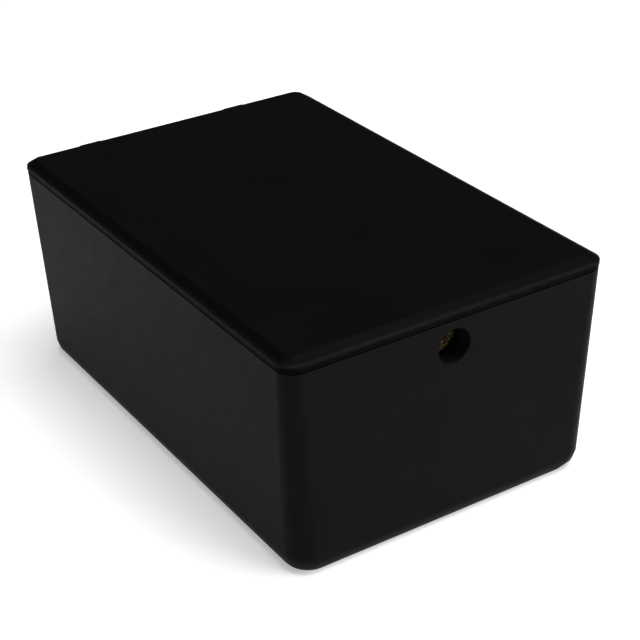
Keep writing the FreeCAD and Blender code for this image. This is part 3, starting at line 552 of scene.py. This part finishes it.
class BAIT_OT_lid(bpy.types.Operator):
    """Mould the lid"""
    bl_idname = "bait_station.lid"
    bl_label = "Lid"

    def execute(self, context):
        settings = context.scene.bait_mouldings
        piece = copy_of_node("lid", "lid_shell")
        cut_shadow_line(piece)
        round_level_edges(piece, RIM_TOP, settings.rim_radius, 5)
        round_level_edges(piece, LID_HIGH.z, settings.border_radius, 3)
        soften_edges(piece, settings.edge_radius * 0.5)
        piece.data.materials.append(lid_plastic("lid_plastic", settings))
        stand_for(piece, "lid")
        return {"FINISHED"}


class BAIT_OT_tray(bpy.types.Operator):
    """Mould the bait tray"""
    bl_idname = "bait_station.tray"
    bl_label = "Bait Tray"

    def execute(self, context):
        settings = context.scene.bait_mouldings
        plastic = moulded_plastic("tray_plastic", settings.tray_colour, settings.grain_size,
                                  settings.grain_depth, 0.42, 0.40)
        softened_node("bait_tray", "tray_moulding", settings.edge_radius, plastic)
        return {"FINISHED"}


class BAIT_OT_bait(bpy.types.Operator):
    """Press the bait blocks and bend their rods"""
    bl_idname = "bait_station.bait"
    bl_label = "Bait and Rods"

    def execute(self, context):
        bait = context.scene.bait_blocks
        metal = context.scene.bait_hardware
        wax = bait_wax("bait_wax", bait.wax_colour, bait.grain_colour)
        wire = plated_steel("rod_zinc", metal.zinc_colour, 0.28, (1.0, 0.05, 1.0))
        spring = plated_steel("clip_steel", metal.spring_colour, 0.35, (1.0, 1.0, 1.0))
        for side in ("left", "right"):
            node = f"bait_blocks_{side}"
            piece = copy_of_node(node, f"wax_blocks_{side}")
            press_grooves(piece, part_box(node), bait)
            soften_edges(piece, bait.edge_radius)
            piece.data.materials.append(wax)
            stand_for(piece, node)
            softened_node(f"bait_rod_{side}", f"wire_rod_{side}", metal.edge_radius * 2, wire)
        softened_node("rod_clips", "push_on_clips", metal.edge_radius, spring)
        return {"FINISHED"}


class BAIT_OT_hinge(bpy.types.Operator):
    """Make the hinge pins and their rings"""
    bl_idname = "bait_station.hinge"
    bl_label = "Hinge Pins"

    def execute(self, context):
        metal = context.scene.bait_hardware
        pin = plated_steel("pin_zinc", metal.zinc_colour, 0.30, (0.05, 1.0, 1.0))
        spring = plated_steel("ring_steel", metal.spring_colour, 0.35, (1.0, 1.0, 1.0))
        for side in ("left", "right"):
            softened_node(f"hinge_pin_{side}", f"headed_pin_{side}", metal.edge_radius * 2, pin)
        softened_node("hinge_pin_retainers", "star_rings", metal.edge_radius, spring)
        return {"FINISHED"}


class BAIT_OT_lock(bpy.types.Operator):
    """Make the brass cam lock"""
    bl_idname = "bait_station.lock"
    bl_label = "Cam Lock"

    def execute(self, context):
        metal = context.scene.bait_hardware
        brass = turned_metal("lock_brass", metal.brass_colour, 0.20, LOCK_AXIS, (0.45, 0.27, 0.09))
        threaded = turned_metal("threaded_brass", metal.brass_colour, 0.22, LOCK_AXIS,
                                (0.45, 0.27, 0.09), metal.thread_depth)
        wafer = turned_metal("wafer_brass", metal.brass_colour, 0.30, LOCK_AXIS, (0.40, 0.25, 0.10))
        zinc = plated_steel("cam_zinc", metal.zinc_colour, 0.30, (1.0, 1.0, 0.1))
        spring = plated_steel("washer_steel", metal.spring_colour, 0.35, (1.0, 1.0, 1.0))
        for node, name, finish in (("lock_housing", "brass_housing", threaded),
                                   ("lock_plug", "brass_plug", brass),
                                   ("lock_nut", "brass_nut", brass), ("lock_wafers", "tumbler_wafers", wafer),
                                   ("lock_cam", "steel_cam", zinc), ("cam_screw", "cam_fixing_screw", zinc),
                                   ("cam_washer", "cam_fixing_washer", spring),
                                   ("lock_washer", "housing_washer", spring)):
            radius = metal.edge_radius * (0.4 if node == "lock_wafers" else 1.0)
            softened_node(node, name, radius, finish)
        return {"FINISHED"}


class BAIT_OT_keeper(bpy.types.Operator):
    """Bend the keeper hook and make its screws"""
    bl_idname = "bait_station.keeper"
    bl_label = "Keeper Hook"

    def execute(self, context):
        metal = context.scene.bait_hardware
        zinc = plated_steel("keeper_zinc", metal.zinc_colour, 0.30, (1.0, 1.0, 0.1))
        softened_node("keeper_hook", "bent_keeper", metal.edge_radius * 2, zinc)
        softened_node("keeper_screws", "keeper_fixing_screws", metal.edge_radius, zinc)
        return {"FINISHED"}


def area_light(name, size, power, place, aim):
    lamp = bpy.data.lights.new(name, "AREA")
    lamp.shape = "RECTANGLE"
    lamp.size, lamp.size_y = size
    lamp.energy = power
    holder = bpy.data.objects.new(name, lamp)
    bpy.context.collection.objects.link(holder)
    holder.location = place
    holder.rotation_euler = (Vector(aim) - Vector(place)).to_track_quat("-Z", "Y").to_euler()


class BAIT_OT_studio(bpy.types.Operator):
    """Set up the floor, the lights and the camera"""
    bl_idname = "bait_station.studio"
    bl_label = "Studio"

    def execute(self, context):
        settings = context.scene.bait_studio
        deselect_everything()
        bpy.ops.mesh.primitive_plane_add(size=FLOOR_SIDE)
        floor = context.active_object
        floor.name = "studio_floor"
        floor.data.materials.append(floor_finish("studio_paper", settings.floor_colour))
        middle = (Vector(CAD_BOX[0]) + Vector(CAD_BOX[1])) / 2
        area_light("overhead_softbox", (1.6, 1.6), 36.0, (0.3, -0.3, 1.7), middle)
        area_light("left_softbox", (1.4, 1.0), 2.6, (-1.8, -0.9, 0.5), middle)
        area_light("right_softbox", (1.2, 0.8), 13.5, (0.9, -1.4, 0.70), middle)
        world = bpy.data.worlds.new("studio_world")
        context.scene.world = world
        world.use_nodes = True
        tree = world.node_tree
        background = tree.nodes["Background"]
        background.inputs["Color"].default_value = (0.9, 0.9, 0.9, 1.0)
        path = tree.nodes.new("ShaderNodeLightPath")
        level = tree.nodes.new("ShaderNodeMapRange")
        level.inputs["To Min"].default_value = FILL_LIGHT
        level.inputs["To Max"].default_value = 1.0
        tree.links.new(path.outputs["Is Camera Ray"], level.inputs["Value"])
        tree.links.new(level.outputs["Result"], background.inputs["Strength"])
        self.add_camera(context, settings)
        context.scene.view_settings.view_transform = "Standard"
        return {"FINISHED"}

    def add_camera(self, context, settings):
        back = Vector((math.sin(settings.turn) * math.cos(settings.rise),
                       -math.cos(settings.turn) * math.cos(settings.rise), math.sin(settings.rise)))
        right = (-back).cross(Vector((0, 0, 1))).normalized()
        up = right.cross(-back)
        lean, rest = math.sin(settings.roll), math.cos(settings.roll)
        right, up = right * rest + up * lean, up * rest - right * lean
        place = (Vector((0, 0, settings.aim_height)) + back * settings.distance
                 + right * settings.pan_right - up * settings.pan_down)
        camera = bpy.data.objects.new("camera", bpy.data.cameras.new("camera"))
        context.collection.objects.link(camera)
        camera.data.lens = settings.lens
        camera.data.sensor_width = SENSOR_WIDTH
        camera.data.clip_start = CLIP_START
        camera.matrix_world = Matrix.Translation(place) @ Matrix((right, up, back)).transposed().to_4x4()
        context.scene.camera = camera


OPERATORS = (BAIT_OT_tub, BAIT_OT_lid, BAIT_OT_tray, BAIT_OT_bait, BAIT_OT_hinge, BAIT_OT_lock,
             BAIT_OT_keeper, BAIT_OT_studio)
GROUPS = {"bait_mouldings": MouldingProperties, "bait_hardware": HardwareProperties,
          "bait_blocks": BaitProperties, "bait_studio": StudioProperties}


class BAIT_PT_panel(bpy.types.Panel):
    """Buttons that build the station piece by piece"""
    bl_idname = "BAIT_PT_panel"
    bl_label = "Bait Station"
    bl_space_type = "VIEW_3D"
    bl_region_type = "UI"
    bl_category = "Bait Station"

    def draw(self, context):
        for operator in OPERATORS:
            self.layout.operator(operator.bl_idname)
        for name, group in GROUPS.items():
            box = self.layout.box()
            for field in group.__annotations__:
                box.prop(getattr(context.scene, name), field)


def register():
    for group in GROUPS.values():
        bpy.utils.register_class(group)
    for name, group in GROUPS.items():
        setattr(bpy.types.Scene, name, PointerProperty(type=group))
    for operator in OPERATORS:
        bpy.utils.register_class(operator)
    bpy.utils.register_class(BAIT_PT_panel)


def unregister():
    bpy.utils.unregister_class(BAIT_PT_panel)
    for operator in reversed(OPERATORS):
        bpy.utils.unregister_class(operator)
    for name in GROUPS:
        delattr(bpy.types.Scene, name)
    for group in reversed(list(GROUPS.values())):
        bpy.utils.unregister_class(group)


def main():
    register()
    bpy.ops.bait_station.tub()
    bpy.ops.bait_station.lid()
    bpy.ops.bait_station.tray()
    bpy.ops.bait_station.bait()
    bpy.ops.bait_station.hinge()
    bpy.ops.bait_station.lock()
    bpy.ops.bait_station.keeper()
    bpy.ops.bait_station.studio()


if __name__ == "__main__":
    main()
